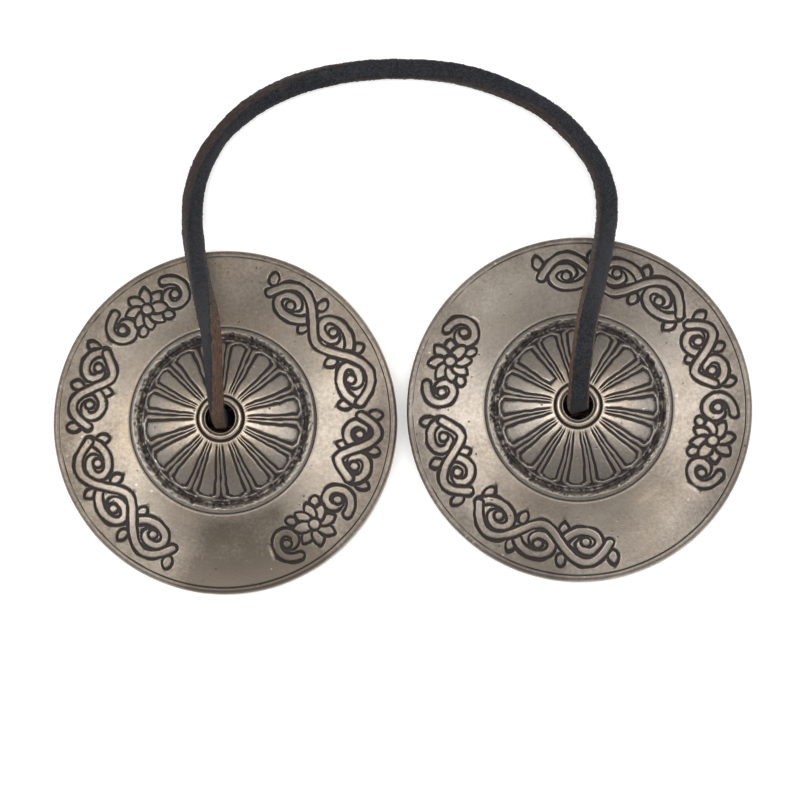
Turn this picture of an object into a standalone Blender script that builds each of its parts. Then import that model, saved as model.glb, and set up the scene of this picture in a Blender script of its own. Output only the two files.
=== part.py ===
"""A pair of hand cymbals (tingsha) joined by one leather lace.

Two cast bronze discs lie flat, dome up, side by side along X.  The lace is
knotted under the left dome, comes up through its hole, curves over the disc
and the rim, lies on the table in a loose arch behind the pair, and goes back
over the other rim and down through the other hole to its own knot.

Units are metres and +Z is up.  The origin is on the table, midway between the
two disc centres.  Each disc turns freely about its hole, and each end of the
lace tips up from the table at the fold just behind its disc.
"""

import math

import bpy
from mathutils import Vector
from mathutils.geometry import interpolate_bezier

MM = 0.001

# The cast disc.  Every disc is the same turned shape.
RIM_RADIUS = 32.5 * MM
RIM_THICKNESS = 3.6 * MM
RIM_EDGE = 0.9 * MM
FLANGE_RISE = 3.6 * MM
FLANGE_INNER_RADIUS = 17.9 * MM
FLANGE_OUTER_RADIUS = 31.4 * MM
FLANGE_CURVE = 1.6
BEAD_RADIUS = 16.75 * MM
BEAD_HALF_WIDTH = 0.75 * MM
BEAD_CREST = 7.9 * MM
RING_GROOVE_Z = 6.9 * MM
DOME_RADIUS = 15.0 * MM
DOME_TOP = 13.4 * MM
DOME_DROP = 5.8 * MM
COLLAR_OUTER_RADIUS = 4.05 * MM
COLLAR_INNER_RADIUS = 2.95 * MM
COLLAR_TOP = 13.7 * MM
COLLAR_GROOVE_RADIUS = 4.35 * MM
COLLAR_GROOVE_Z = 12.5 * MM
HOLE_RADIUS = 2.65 * MM
REST_INNER_RADIUS = 26.0 * MM
REST_OUTER_RADIUS = 32.0 * MM
HOLLOW_DEPTH = 9.9 * MM
DISC_STEPS = 64

# Where the discs lie: the right one a little further back than the left.
DISC_SPACING = 66.8 * MM
DISC_STAGGER = 2.46 * MM
LEFT_CENTRE = Vector((-DISC_SPACING / 2, -DISC_STAGGER / 2, 0.0))
RIGHT_CENTRE = Vector((DISC_SPACING / 2, DISC_STAGGER / 2, 0.0))

# The leather lace and its knots.
LACE_DIAMETER = 4.2 * MM
LACE_SIDES = 3
LACE_POINT_SPACING = 1.2 * LACE_DIAMETER
END_PIECE = 0.6 * MM
TOUCH_GAP = 0.3 * MM
KNOT_RADIUS = 5.75 * MM
KNOT_HALF_HEIGHT = 4.2 * MM
KNOT_CENTRE_Z = 5.2 * MM
TAIL_START = (6.2 * MM, 4.0 * MM)
TAIL_END = (13.4 * MM, 2.5 * MM)
LEFT_TAIL_DIRECTION = math.radians(14)
RIGHT_TAIL_DIRECTION = math.radians(196)

# The route of the lace's middle line, from the left knot to the right knot.
LEFT_FOLD = Vector((-0.0397, 0.0416, 0.00215))
RIGHT_FOLD = Vector((0.0380, 0.0440, 0.00215))
LACE_ROUTE = [
    Vector((-0.0334, -0.0012, 0.0097)),
    Vector((-0.0334, -0.0012, 0.0130)),
    Vector((-0.0334, -0.0012, 0.0163)),
    Vector((-0.0334, 0.0001, 0.0212)),
    Vector((-0.0335, 0.0036, 0.0247)),
    Vector((-0.0337, 0.0083, 0.0260)),
    Vector((-0.0341, 0.0130, 0.0248)),
    Vector((-0.0349, 0.0164, 0.0220)),
    Vector((-0.0371, 0.0238, 0.0145)),
    Vector((-0.0389, 0.0308, 0.0075)),
    Vector((-0.0398, 0.0365, 0.0031)),
    Vector((-0.0399, 0.0390, 0.0023)),
    LEFT_FOLD,
    Vector((-0.0383, 0.0470, 0.00215)),
    Vector((-0.0360, 0.0514, 0.00215)),
    Vector((-0.0306, 0.0573, 0.00215)),
    Vector((-0.0223, 0.0622, 0.00215)),
    Vector((-0.0120, 0.0651, 0.00215)),
    Vector((-0.0010, 0.0660, 0.00215)),
    Vector((0.0105, 0.0649, 0.00215)),
    Vector((0.0205, 0.0616, 0.00215)),
    Vector((0.0286, 0.0569, 0.00215)),
    Vector((0.0340, 0.0514, 0.00215)),
    Vector((0.0369, 0.0470, 0.00215)),
    RIGHT_FOLD,
    Vector((0.0385, 0.0414, 0.0023)),
    Vector((0.0386, 0.0389, 0.0031)),
    Vector((0.0382, 0.0332, 0.0075)),
    Vector((0.0371, 0.0262, 0.0145)),
    Vector((0.0357, 0.0188, 0.0220)),
    Vector((0.0351, 0.0154, 0.0248)),
    Vector((0.0345, 0.0107, 0.0260)),
    Vector((0.0339, 0.0060, 0.0247)),
    Vector((0.0336, 0.0025, 0.0212)),
    Vector((0.0334, 0.0012, 0.0163)),
    Vector((0.0334, 0.0012, 0.0130)),
    Vector((0.0334, 0.0012, 0.0097)),
]
SAMPLES_PER_SPAN = 24


def clear_scene():
    """Remove every object, so that the script starts from nothing."""
    for item in list(bpy.data.objects):
        bpy.data.objects.remove(item, do_unlink=True)


def make_material(name, color, metallic, roughness):
    """Return a Principled material of one plain colour."""
    material = bpy.data.materials.new(name)
    material.use_nodes = True
    shader = material.node_tree.nodes["Principled BSDF"]
    shader.inputs["Base Color"].default_value = (*color, 1.0)
    shader.inputs["Metallic"].default_value = metallic
    shader.inputs["Roughness"].default_value = roughness
    return material


def flange_height(radius):
    """Height of the flange's top, which sweeps up towards the dome."""
    reach = (FLANGE_OUTER_RADIUS - radius) / (FLANGE_OUTER_RADIUS - FLANGE_INNER_RADIUS)
    return RIM_THICKNESS + FLANGE_RISE * max(reach, 0.0) ** FLANGE_CURVE


def dome_height(radius):
    """Height of the dome's top, a shallow parabola."""
    return DOME_TOP - DOME_DROP * (radius / DOME_RADIUS) ** 2


def hollow_height(radius):
    """Height of the hollow's ceiling, a smooth bell over the flat rest ring."""
    reach = min(radius / REST_INNER_RADIUS, 1.0)
    return HOLLOW_DEPTH * 0.5 * (1.0 + math.cos(math.pi * reach ** 1.15))


def spread(start, end, count):
    """Return count evenly spaced values from start to end."""
    return [start + (end - start) * step / (count - 1) for step in range(count)]


def disc_profile():
    """Closed outline (radius, height), outwards over the top and back beneath."""
    collar = [
        (HOLE_RADIUS, COLLAR_TOP - 0.5 * MM),
        (COLLAR_INNER_RADIUS, COLLAR_TOP),
        (COLLAR_OUTER_RADIUS - 0.3 * MM, COLLAR_TOP),
        (COLLAR_OUTER_RADIUS, COLLAR_TOP - 0.4 * MM),
        (COLLAR_GROOVE_RADIUS, COLLAR_GROOVE_Z),
    ]
    dome_start = COLLAR_GROOVE_RADIUS + 0.35 * MM
    dome = [(radius, dome_height(radius)) for radius in spread(dome_start, DOME_RADIUS, 7)]
    bead = []
    for angle in spread(math.pi, 0.0, 5):
        radius = BEAD_RADIUS + BEAD_HALF_WIDTH * math.cos(angle)
        height = RING_GROOVE_Z + (BEAD_CREST - RING_GROOVE_Z) * math.sin(angle)
        bead.append((radius, height))
    flange_radii = spread(FLANGE_INNER_RADIUS, FLANGE_OUTER_RADIUS, 7)
    flange = [(radius, flange_height(radius)) for radius in flange_radii]
    rim = [
        (RIM_RADIUS - 0.3 * RIM_EDGE, RIM_THICKNESS - 0.35 * RIM_EDGE),
        (RIM_RADIUS, RIM_THICKNESS - RIM_EDGE),
        (RIM_RADIUS, RIM_RADIUS - REST_OUTER_RADIUS),
        (REST_OUTER_RADIUS, 0.0),
    ]
    hollow_radii = spread(REST_INNER_RADIUS, HOLE_RADIUS + 0.3 * MM, 9)
    hollow = [(radius, hollow_height(radius)) for radius in hollow_radii]
    bore_foot = [(HOLE_RADIUS, hollow_height(HOLE_RADIUS) + 0.3 * MM)]
    return collar + dome + bead + flange + rim + hollow + bore_foot


def make_disc(name, centre, material, collection):
    """Turn the disc's outline about its own upright axis."""
    outline = disc_profile()
    mesh = bpy.data.meshes.new(name)
    points = [(radius, 0.0, height) for radius, height in outline]
    count = len(points)
    mesh.from_pydata(points, [(i, (i + 1) % count) for i in range(count)], [])
    disc = bpy.data.objects.new(name, mesh)
    collection.objects.link(disc)
    disc.location = centre
    disc.data.materials.append(material)
    screw = disc.modifiers.new("turn", "SCREW")
    screw.axis = "Z"
    screw.angle = math.tau
    screw.steps = DISC_STEPS
    screw.render_steps = DISC_STEPS
    screw.use_merge_vertices = True
    screw.merge_threshold = 0.00001
    screw.use_smooth_shade = True
    return disc


def heading(before, here, after):
    """Return the curve's direction at a point, ruled by its nearer neighbour."""
    arriving, leaving = here - before, after - here
    if not arriving.length or not leaving.length:
        return (arriving + leaving).normalized()
    mix = arriving.normalized() * leaving.length + leaving.normalized() * arriving.length
    return mix.normalized()


def smooth_curve(route):
    """Return closely spaced points on a smooth curve through the route."""
    padded = [route[0], *route, route[-1]]
    headings = [heading(*padded[i:i + 3]) for i in range(len(route))]
    curve = [route[0]]
    for i in range(len(route) - 1):
        here, there = route[i], route[i + 1]
        reach = (there - here).length / 3
        leave = here + headings[i] * reach
        arrive = there - headings[i + 1] * reach
        curve += interpolate_bezier(here, leave, arrive, there, SAMPLES_PER_SPAN + 1)[1:]
    return curve


def run_lengths(curve):
    """Return the distance along the curve at each of its points."""
    lengths = [0.0]
    for here, there in zip(curve, curve[1:]):
        lengths.append(lengths[-1] + (there - here).length)
    return lengths


def stretch(curve, start, end, spacing):
    """Return evenly spaced points of the curve between two distances along it.

    A short piece at each end keeps the end faces square to the curve.
    """
    lengths = run_lengths(curve)
    count = max(int(round((end - start) / spacing)), 2) + 1
    distances = spread(start, end, count)
    distances = [start, start + END_PIECE, *distances[1:-1], end - END_PIECE, end]
    points = []
    i = 0
    for distance in distances:
        while i < len(curve) - 2 and lengths[i + 1] < distance:
            i += 1
        share = (distance - lengths[i]) / (lengths[i + 1] - lengths[i])
        points.append(curve[i].lerp(curve[i + 1], share))
    return points


def make_tube(name, points, origin, material, collection):
    """Make a round tube with closed ends along the points."""
    data = bpy.data.curves.new(name, "CURVE")
    data.dimensions = "3D"
    data.bevel_depth = LACE_DIAMETER / 2
    data.bevel_resolution = LACE_SIDES
    data.use_fill_caps = True
    spline = data.splines.new("POLY")
    spline.points.add(len(points) - 1)
    for slot, point in zip(spline.points, points):
        slot.co = (*(point - origin), 1.0)
    tube = bpy.data.objects.new(name, data)
    collection.objects.link(tube)
    tube.location = origin
    tube.data.materials.append(material)
    return tube


def make_lace(material, collection):
    """Cut the route at its two folds and make the arch and both necks."""
    curve = smooth_curve(LACE_ROUTE)
    lengths = run_lengths(curve)
    left_fold = lengths[LACE_ROUTE.index(LEFT_FOLD) * SAMPLES_PER_SPAN]
    right_fold = lengths[LACE_ROUTE.index(RIGHT_FOLD) * SAMPLES_PER_SPAN]
    half_gap = TOUCH_GAP / 2
    stretches = [
        ("left_lace_neck", 0.0, left_fold - half_gap, LEFT_FOLD),
        ("lace_arch", left_fold + half_gap, right_fold - half_gap, Vector()),
        ("right_lace_neck", right_fold + half_gap, lengths[-1], RIGHT_FOLD),
    ]
    for name, start, end, origin in stretches:
        points = stretch(curve, start, end, LACE_POINT_SPACING)
        make_tube(name, points, origin, material, collection)


def make_knot(name, centre, material, collection):
    """Make the stopper knot under a disc, a flattened ball."""
    bpy.ops.mesh.primitive_uv_sphere_add(segments=20, ring_count=12, radius=KNOT_RADIUS)
    knot = bpy.context.object
    knot.name = name
    knot.data.name = name
    knot.scale.z = KNOT_HALF_HEIGHT / KNOT_RADIUS
    bpy.ops.object.transform_apply(location=False, rotation=False, scale=True)
    knot.location = centre + Vector((0.0, 0.0, KNOT_CENTRE_Z))
    knot.data.shade_smooth()
    knot.data.materials.append(material)
    for owner in list(knot.users_collection):
        owner.objects.unlink(knot)
    collection.objects.link(knot)
    return knot


def make_tail(name, centre, direction, material, collection):
    """Make the lace's free end, which slopes away from the knot."""
    outward = Vector((math.cos(direction), math.sin(direction), 0.0))
    ends = []
    for radius, height in (TAIL_START, TAIL_END):
        ends.append(centre + outward * radius + Vector((0.0, 0.0, height)))
    length = (ends[1] - ends[0]).length
    points = stretch(ends, 0.0, length, LACE_POINT_SPACING / 2)
    return make_tube(name, points, centre, material, collection)


def build():
    """Make the pair of discs and the lace that joins them."""
    clear_scene()
    collection = bpy.data.collections.new("hand_cymbals")
    bpy.context.scene.collection.children.link(collection)
    sides = [
        ("left", LEFT_CENTRE, LEFT_TAIL_DIRECTION),
        ("right", RIGHT_CENTRE, RIGHT_TAIL_DIRECTION),
    ]
    leather = make_material("dyed_leather", (0.035, 0.032, 0.036), 0.0, 0.62)
    for side, centre, tail_direction in sides:
        bronze = make_material(f"{side}_bronze", (0.42, 0.37, 0.30), 1.0, 0.38)
        make_disc(f"{side}_cymbal", centre, bronze, collection)
        make_knot(f"{side}_lace_knot", centre, leather, collection)
        make_tail(f"{side}_lace_tail", centre, tail_direction, leather, collection)
    make_lace(leather, collection)


build()
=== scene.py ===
"""The looks of a pair of hand cymbals (tingsha) on their leather lace.

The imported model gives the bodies, joints and sizes.  This script stands a
detailed piece in for each of its solids: two cast and engraved bronze discs,
the two halves of the leather lace, and the lace's two knots.  It then adds
the floor, the lights and the camera.

Lengths are metres unless a name ends in _MM, and the discs are worked out in
millimetres from their own centres.  The turn of a disc and the angles in the
tables are in degrees, all other angles in radians.
"""

import math

import bpy
import numpy as np
from mathutils import Matrix, Vector, noise
from mathutils.geometry import interpolate_bezier

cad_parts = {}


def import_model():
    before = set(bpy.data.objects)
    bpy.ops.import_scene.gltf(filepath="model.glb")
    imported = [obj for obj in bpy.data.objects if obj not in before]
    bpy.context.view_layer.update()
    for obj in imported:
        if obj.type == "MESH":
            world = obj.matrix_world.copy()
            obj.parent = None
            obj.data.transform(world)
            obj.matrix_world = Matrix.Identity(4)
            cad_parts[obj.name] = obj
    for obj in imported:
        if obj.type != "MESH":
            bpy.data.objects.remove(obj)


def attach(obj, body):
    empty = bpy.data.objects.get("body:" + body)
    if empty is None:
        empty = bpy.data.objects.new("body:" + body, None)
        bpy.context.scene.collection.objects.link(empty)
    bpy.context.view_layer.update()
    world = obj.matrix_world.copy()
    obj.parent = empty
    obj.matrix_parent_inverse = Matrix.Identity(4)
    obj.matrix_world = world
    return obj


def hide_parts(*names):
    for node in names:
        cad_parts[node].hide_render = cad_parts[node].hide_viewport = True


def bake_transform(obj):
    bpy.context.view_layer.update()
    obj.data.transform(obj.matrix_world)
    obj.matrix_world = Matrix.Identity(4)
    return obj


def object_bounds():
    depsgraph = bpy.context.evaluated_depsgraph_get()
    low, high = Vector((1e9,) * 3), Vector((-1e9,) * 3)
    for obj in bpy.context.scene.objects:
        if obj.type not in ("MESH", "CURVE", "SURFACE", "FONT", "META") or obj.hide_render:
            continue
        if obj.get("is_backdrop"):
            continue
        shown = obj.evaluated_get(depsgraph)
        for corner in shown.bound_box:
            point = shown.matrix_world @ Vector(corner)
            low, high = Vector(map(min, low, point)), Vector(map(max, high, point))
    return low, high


MM = 0.001
NOISE_CELLS = 128
UP = Vector((0.0, 0.0, 1.0))

# Where the discs lie, as in the CAD model.
LEFT_CENTRE = Vector((-0.0334, -0.00123, 0.0))
RIGHT_CENTRE = Vector((0.0334, 0.00123, 0.0))
RIGHT_TURN = 35.0

# The discs' random seeds, and the petal of the right one whose ridges join.
LEFT_SEED = 11
RIGHT_SEED = 47
JOINED_PETAL = 4

# The route of the lace's middle line, the same points as the CAD model's.
LEFT_FOLD = Vector((-0.0397, 0.0416, 0.00215))
RIGHT_FOLD = Vector((0.0380, 0.0440, 0.00215))
LACE_ROUTE = [
    (-0.0334, -0.0012, 0.0097), (-0.0334, -0.0012, 0.0130), (-0.0334, -0.0012, 0.0163),
    (-0.0334, 0.0001, 0.0212), (-0.0335, 0.0036, 0.0247), (-0.0337, 0.0083, 0.0260),
    (-0.0341, 0.0130, 0.0248), (-0.0349, 0.0164, 0.0220), (-0.0371, 0.0238, 0.0145),
    (-0.0389, 0.0308, 0.0075), (-0.0398, 0.0365, 0.0031), (-0.0399, 0.0390, 0.0023), LEFT_FOLD,
    (-0.0383, 0.0470, 0.00215), (-0.0360, 0.0514, 0.00215), (-0.0306, 0.0573, 0.00215),
    (-0.0223, 0.0622, 0.00215), (-0.0120, 0.0651, 0.00215), (-0.0010, 0.0660, 0.00215),
    (0.0105, 0.0649, 0.00215), (0.0205, 0.0616, 0.00215), (0.0286, 0.0569, 0.00215),
    (0.0340, 0.0514, 0.00215), (0.0369, 0.0470, 0.00215), RIGHT_FOLD, (0.0385, 0.0414, 0.0023),
    (0.0386, 0.0389, 0.0031), (0.0382, 0.0332, 0.0075), (0.0371, 0.0262, 0.0145),
    (0.0357, 0.0188, 0.0220), (0.0351, 0.0154, 0.0248), (0.0345, 0.0107, 0.0260),
    (0.0339, 0.0060, 0.0247), (0.0336, 0.0025, 0.0212), (0.0334, 0.0012, 0.0163),
    (0.0334, 0.0012, 0.0130), (0.0334, 0.0012, 0.0097),
]
ARCH_MIDDLE = 18
SPAN_POINTS = 24

# The lace: a leather strip with dyed faces and raw cut sides.
STRIP_WIDTH = 3.85 * MM
STRIP_THICKNESS = 2.75 * MM
STRIP_SIDES = 36
STRIP_SQUARENESS = 3.4
STRIP_SWELL = 0.055
STRIP_SWELL_LENGTH = 5.0 * MM
STRIP_GRAIN = 0.04
STRIP_GRAIN_SIZE = (0.8 * MM, 0.9 * MM)
STRIP_FRAY = 0.09
STRIP_FRAY_RATE = 3.1
RING_SPACING = 0.3 * MM
LYING_HEIGHT = 2.15 * MM
LIFT_FADE = 4.0 * MM
HALF_LACE_LENGTH = 0.113
KNOT_LEATHER = 0.06
FACE_UP = Vector((0.0, -0.05, 1.0))

# How far the strip is rolled about its own line, as (millimetres along, degrees).
LEFT_ROLL = [
    (0, -84), (12, -80), (18, -60), (27, -50), (32, -28), (38, -5),
    (48, 28), (62, 42), (76, 62), (92, 34), (108, 0),
]
RIGHT_ROLL = [(0, 14), (16, 12), (28, 16), (40, 26), (55, 22), (70, 28), (84, 40), (98, 18), (110, 0)]

# The overhand knots under the domes.
KNOT_CENTRE_Z = 5.2 * MM
KNOT_SCALE = 1.36 * MM
KNOT_RISE = 2.25 * MM
KNOT_START = math.pi + 0.5
KNOT_END = 3 * math.pi - 0.2
KNOT_POINTS = 30
KNOT_STRIP = (3.3 * MM, 2.3 * MM)
KNOT_ENTRY_MM = [(0.0, 0.0, 4.5), (0.272, -0.408, 3.9), (1.088, -1.496, 3.1)]
# The tail, as (distance out and height in millimetres, lag in degrees), and the
# distances out between which the strip loosens to its full width.
KNOT_TAIL = [(5.0, -1.4, -12), (6.6, -1.5, -4), (8.8, -2.0, 0), (11.0, -2.5, 2), (13.2, -2.7, 1)]
KNOT_LOOSENS = (4.6 * MM, 7.0 * MM)
TAIL_HEADING = math.radians(-50)
LEFT_TAIL = math.radians(14)
RIGHT_TAIL = math.radians(196)

# The turned shape of a disc, as (radius, height) in millimetres.
HOLE_MM = 2.65
BORE_MM = [(2.65, 10.2), (2.65, 11.4), (2.65, 12.6), (2.66, 13.0)]
COLLAR_MM = [
    (2.70, 13.22), (2.78, 13.44), (2.90, 13.52), (3.00, 13.48), (3.08, 13.24), (3.15, 13.28),
    (3.22, 13.58), (3.34, 13.70), (3.55, 13.74), (3.76, 13.68), (3.92, 13.54), (4.01, 13.30),
    (4.08, 12.92), (4.17, 12.58), (4.28, 12.48), (4.40, 12.58), (4.54, 12.84),
]
COLLAR_STEP_MM = 3.11
COLLAR_STEP_HALF_MM = 0.09
DOME_TOP_MM = 13.4
DOME_DROP_MM = 5.8
DOME_RADIUS_MM = 15.0
BOSS_START_MM = 4.72
BOSS_RINGS = 43
STEP_MM = [
    (15.00, 7.60), (15.20, 7.32), (15.45, 7.04), (15.70, 7.06), (15.90, 7.32),
    (16.15, 7.64), (16.40, 7.83), (16.70, 7.92), (17.00, 7.86), (17.25, 7.64),
    (17.42, 7.30), (17.56, 7.04), (17.68, 7.05), (17.85, 7.20),
]
STEP_END_MM = STEP_MM[-1][0]
STEP_RINGS = 19
TROUGH_MM = 15.48
TROUGH_HALF_MM = 0.70
FOOT_RADII_MM = [18.1, 18.5, 19.0, 19.6, 20.2, 20.8]
FLANGE_INNER_MM = 17.9
FLANGE_OUTER_MM = 31.4
FLANGE_RISE_MM = 3.6
FLANGE_CURVE = 1.6
RIM_THICKNESS_MM = 3.6
RIM_TOP_MM = [30.9, 31.05, 31.16, 31.24, 31.3, 31.36, 31.44, 31.56, 31.75]
RIM_EDGE_MM = [
    (32.0, 3.50), (32.2, 3.36), (32.37, 3.14), (32.46, 2.9), (32.5, 2.6), (32.5, 1.6), (32.5, 0.55),
]
UNDERSIDE_MM = [(32.42, 0.25), (32.25, 0.08), (32.0, 0.0), (30.0, 0.0), (28.0, 0.0), (26.5, 0.0)]
HOLLOW_MM = 9.9
HOLLOW_RADIUS_MM = 26.0
HOLLOW_RINGS = 22

# Where the looks of the petals change, from the hub outwards.
HUB_FADE_MM = (4.75, 5.7)
# Out to here the hub is lighter: partly polish from wear, partly a painted highlight.
HUB_POLISH_AND_HIGHLIGHT_MM = (5.2, 8.5)
PANEL_WIDENS_MM = (6.0, 10.0)
OUTER_SHADE_MM = (9.0, 13.5)
EDGE_SHADE_MM = (14.2, 14.9)

# Zones of the top: where each one rises to its full strength, and falls again.
COLLAR_CROWN_MM = (3.18, 3.30, 3.85, 4.0)
COLLAR_GROOVE_MM = (4.02, 4.14, 4.34, 4.56)
ROUGH_ZONE_MM = (14.9, 15.2, 16.4, 17.2)
BEAD_CREST_MM = (15.95, 16.3, 17.15, 17.45)
FOOT_LINE_MM = (17.38, 17.54, 17.6, 17.8)

# How finely each zone of a disc is divided, and by how many degrees the fine
# columns of the band reach past each group of the ornament.
COLLAR_COLUMNS = 144
UNDER_COLUMNS = 176
BAND_INNER_MM = 21.4
BAND_OUTER_MM = 30.5
BAND_STEP_MM = 0.155
FINE_STEP = math.radians(0.352)
PLAIN_STEP = math.radians(1.1)
FINE_MARGIN = 1.6

# The petals of the boss.  A fraction runs from 0 at the line between two
# petals to 1 at the middle of a petal.
PETALS = 16
PETAL_FRACTIONS = [0.0, 0.05, 0.1, 0.16, 0.22, 0.28, 0.33, 0.38, 0.43, 0.48, 0.53, 0.58, 0.7, 0.85]
LINE_EDGE = 0.08
RIDGE_EDGE = 0.31
PANEL_EDGE = 0.54
RIM_COLUMNS = PETALS * len(PETAL_FRACTIONS) * 2
PETAL_END_MM = 15.0
PETAL_END_RATE = 0.70
CORNER_SUM = 1.37
CORNER_RATE = 0.62
PETAL_DEPTH_MM = 0.36
LINE_DEPTH_MM = 0.30

# The engraved band.
BAND_MIDDLE_MM = 25.85
GROOVE_WIDTH_MM = 0.51
GROOVE_DEPTH_MM = 0.42
GROOVE_WALL_MM = 0.12
LIP_WIDTH_MM = 0.22
LIP_HEIGHT_MM = 0.06
# How much lighter the lips are: a painted highlight.
LIP_HIGHLIGHT = 0.35
CLEAN_BELOW = 0.05
RIBBON_MM = 0.62
SCROLL_HEIGHT_MM = 3.1
LONG_SCROLL_TURNS = 1.25
SHORT_SCROLL_TURNS = 0.95
LINE_RADIUS_MM = 31.3
LINE_HALF_MM = 0.17
LINE_CUT_MM = 0.16
ENGRAVED_GROUPS = [
    ("scroll", 6.0, 73.0, 3),
    ("rosette", 106.0, 143.5, 0),
    ("scroll", 148.0, 184.0, 2),
    ("scroll", 186.5, 250.0, 3),
    ("rosette", 292.0, 331.0, 0),
    ("scroll", 333.5, 364.5, 2),
]

# Unevenness of the casting and the cutting, as (strength, size in millimetres,
# number of its random table).
COLLAR_WOBBLE = (0.035, 1.3, 0)
COLLAR_STAIN = (0.2, 0.7, 1)
BOSS_SWELL = (0.03, 4.0, 2)
PETAL_JITTER = (0.045, 1.1, 3)
SMALL_LUMPS = (1.0, 0.33, 4)
LARGE_LUMPS = (0.6, 0.8, 5)
TROUGH_WANDER = (0.22, 1.2, 6)
FLANGE_SWELL = (0.035, 7.0, 7)
FLANGE_RIPPLE = (0.014, 2.6, 8)
SHAKE_X = (0.06, 1.1, 9)
SHAKE_Y = (0.06, 1.1, 10)
GROOVE_STAIN = (0.1, 0.8, 11)
RIM_WANDER = (0.05, 3.5, 12)
LINE_FADE = (0.35, 1.7, 13)
RIM_NICKS = (0.02, 2.2, 14)
BEAD_STAIN = (0.10, 0.5, 15)
LARGE_CLOUDS = (0.15, 7.5, 16)
SMALL_CLOUDS = (0.08, 2.4, 17)
GROOVE_UNEVEN = (0.34, 1.7, 18)

# Painted shade on the flange: how much darker it is from the bead out to the rim
# (painted light where negative), as (radius in millimetres, strength), and painted
# shade on one side (painted light where negative), as (degrees, strength).
FLANGE_PAINTED_SHADING = [(17.8, 0.0), (18.4, -0.06), (21.0, 0.0), (25.5, 0.03), (29.8, 0.36)]
LEFT_PAINTED_SHADING = [(281.0, 0.50), (35.0, -0.14), (236.0, -0.12)]
RIGHT_PAINTED_SHADING = [(244.0, 0.12), (290.0, -0.26), (112.0, -0.16)]

# The bronze's colours: light, warm and dark metal, the dark one also giving the painted shade, then what both
# discs share.
LEFT_METAL = ((0.56, 0.49, 0.41), (0.57, 0.465, 0.345), (0.135, 0.113, 0.090))
RIGHT_METAL = ((0.565, 0.505, 0.435), (0.575, 0.485, 0.385), (0.139, 0.119, 0.100))
GREY_METAL = (0.52, 0.485, 0.44)
PATINA_COLOUR = (0.0285, 0.0218, 0.0214)

# The scales of the bronze's textures, in lumps per metre.
SKIN_SCALE = 1500.0
GRIT_SCALE = 5200.0
PIT_SCALE = 620.0
PITTED_SCALE = 260.0
FLECK_SCALE = 430.0
FLECKED_SCALE = 95.0
WARMTH_SCALE = 55.0
LATHE_MARKS = {"Scale": 420.0, "Distortion": 1.4, "Detail": 3.0, "Detail_Scale": 0.6}
BRONZE_BUMP = 0.06 * MM

# The leather's colours, each as a dark and a light shade, and the distances from
# the top of the arch, in millimetres, between which its sides turn from dyed to raw.
FACE_SHADES = ((0.0018, 0.0019, 0.0028), (0.0270, 0.0290, 0.0360))
WORN_FACE = (0.036, 0.030, 0.026)
RAW_SHADES = ((0.016, 0.011, 0.009), (0.118, 0.067, 0.041))
DYED_SHADES = ((0.006, 0.005, 0.006), (0.050, 0.035, 0.031))
RAW_SIDES_FROM = (66.0, 86.0)
FIBRE_STRETCH = (1.0, 1.0, 0.22)
FIBRES_PER_MM = 4.2
GRAINS_PER_MM = 3.4
WEAR_PER_MM = 0.55
LEATHER_BUMP = 0.22 * MM

# The camera looks almost straight down on the pair.
CAMERA_TARGET = Vector((-0.0003, 0.0029, 0.0036))
CAMERA_OFFSET = Vector((0.052, -0.075, 1.0))
CAMERA_LENS = 240.0
CAMERA_ROLL = math.radians(0.22)

# The studio.
SOFTBOX_SIZE = (1.0, 1.4)
SOFTBOXES = [("left", (-0.92, -0.05, 1.12), 13.2), ("right", (0.92, 0.05, 1.12), 12.6)]
SKY_LOW = (0.46, 0.46, 0.46)
SKY_OVERHEAD = (0.86, 0.855, 0.85)
SKY_NEAR_SIDE = (0.16, 0.155, 0.15)
SKY_AT_FLOOR = (0.84, 0.84, 0.84)
PAPER_SHADES = ((0.88, 0.88, 0.88), (0.92, 0.92, 0.92))
PAPER_GLOW = 0.22
FLOOR_HALF = 60.0


def ease(low, high, value):
    """0 up to low, 1 beyond high, and a smooth rise between them, for numbers and arrays."""
    t = np.clip((value - low) / (high - low), 0, 1)
    return t * t * (3.0 - 2.0 * t)


def between(zone, value):
    """1 inside a zone, 0 outside it; a zone is where the rise starts and ends, then the fall."""
    return ease(*zone[:2], value) * (1.0 - ease(*zone[2:], value))


def ridge(offset, half_width):
    """1 on a line, falling evenly to 0 at half_width from it."""
    return np.clip(1.0 - abs(offset) / half_width, 0, 1)


def polar(radius, angles):
    """The x and y of places at a radius and at angles."""
    return radius * np.cos(angles), radius * np.sin(angles)


def uneven(kind, seed, x, y):
    """Smooth random numbers over the plane, between minus and plus the kind's strength."""
    strength, size, number = kind
    rng = np.random.default_rng(seed + number)
    table = rng.uniform(-1.0, 1.0, (NOISE_CELLS, NOISE_CELLS))
    gx = x / size
    gy = y / size
    cell_x = np.floor(gx).astype(int)
    cell_y = np.floor(gy).astype(int)
    fx = ease(0.0, 1.0, gx - cell_x)
    fy = ease(0.0, 1.0, gy - cell_y)
    here_x, next_x = cell_x % NOISE_CELLS, (cell_x + 1) % NOISE_CELLS
    here_y, next_y = cell_y % NOISE_CELLS, (cell_y + 1) % NOISE_CELLS
    low = table[here_x, here_y] * (1 - fx) + table[next_x, here_y] * fx
    high = table[here_x, next_y] * (1 - fx) + table[next_x, next_y] * fx
    return strength * (low * (1 - fy) + high * fy)


# --- the lace ---


def heading(before, here, after):
    """The direction of a smooth curve at a route point, weighted towards its nearer neighbour."""
    arriving = here - before
    leaving = after - here
    if arriving.length == 0 or leaving.length == 0:
        return (arriving + leaving).normalized()
    return (arriving.normalized() * leaving.length + leaving.normalized() * arriving.length).normalized()


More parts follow.
